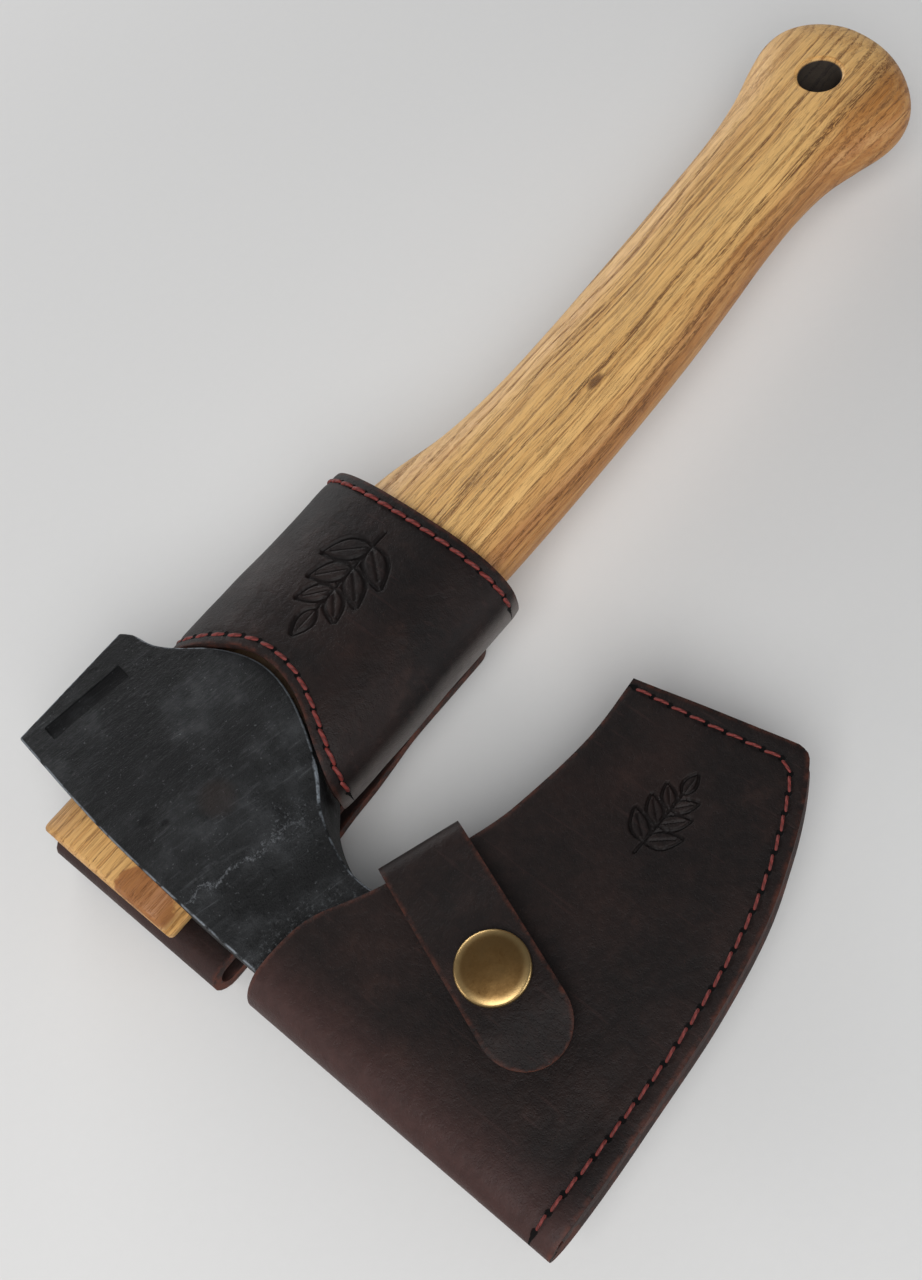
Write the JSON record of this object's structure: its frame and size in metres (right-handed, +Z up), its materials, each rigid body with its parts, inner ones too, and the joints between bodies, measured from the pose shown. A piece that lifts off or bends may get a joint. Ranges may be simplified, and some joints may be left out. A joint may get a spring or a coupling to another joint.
{
  "type": "hatchet",
  "caption": "Compact bearded carving hatchet with an ash handle, in a snapped leather blade sheath and a leather belt holster sleeve with a belt loop.",
  "frame": {"origin": "middle of the whole object's footprint, on the plane that the back of the belt loop rests on", "axes": "+X along the handle from the head to the butt, -Y towards the cutting edge, +Y towards the poll, +Z up out of the side that shows the snap"},
  "size_m": [0.2804, 0.1543, 0.0381],
  "materials": {
    "forged_steel": "blackened forged steel, satin, fine diagonal grinding marks and pale scale along the cheek",
    "wedge_steel": "bare steel, dull",
    "ash_wood": "oiled ash, open grain with dark pore streaks along the handle",
    "wedge_wood": "hardwood wedge, sawn",
    "sheath_leather": "dark brown oiled leather, soft satin, raw orange-brown cut edges",
    "holster_leather": "dark grey-brown oiled leather, soft satin",
    "red_thread": "waxed red thread",
    "antique_brass": "antiqued brass, darker towards the rim"
  },
  "bodies": {
    "axe": {"axe_head": "forged_steel", "handle": "ash_wood", "eye_wedge": "wedge_wood", "steel_ring_wedge": "wedge_steel"},
    "sheath": {"sheath_shell": "sheath_leather", "sheath_welt": "sheath_leather", "sheath_front_thread": "red_thread", "sheath_back_thread": "red_thread", "snap_stud": "antique_brass", "snap_post": "antique_brass", "strap_anchor_thread": "red_thread"},
    "strap": {"closure_strap": "sheath_leather", "snap_cap": "antique_brass", "snap_socket": "antique_brass"},
    "holster": {"holster_sleeve": "holster_leather", "holster_back_panel": "holster_leather", "sleeve_hem_thread": "red_thread", "sleeve_scoop_thread": "red_thread", "belt_loop_thread": "red_thread"}
  },
  "joints": [
    {"name": "sheath_slide", "type": "slide", "parent": "axe", "child": "sheath", "axis": [0, -1, 0], "range_m": [0, 0.11]},
    {"name": "strap_hinge", "type": "hinge", "parent": "sheath", "child": "strap", "pos_m": [-0.09526, -0.01289, 0.0141], "axis": [-0.9385, 0.3453, 0], "range_deg": [0, 100], "deforming": ["closure_strap"]},
    {"name": "holster_slide", "type": "slide", "parent": "axe", "child": "holster", "axis": [1, 0, 0], "range_m": [0, 0.24]}
  ]
}
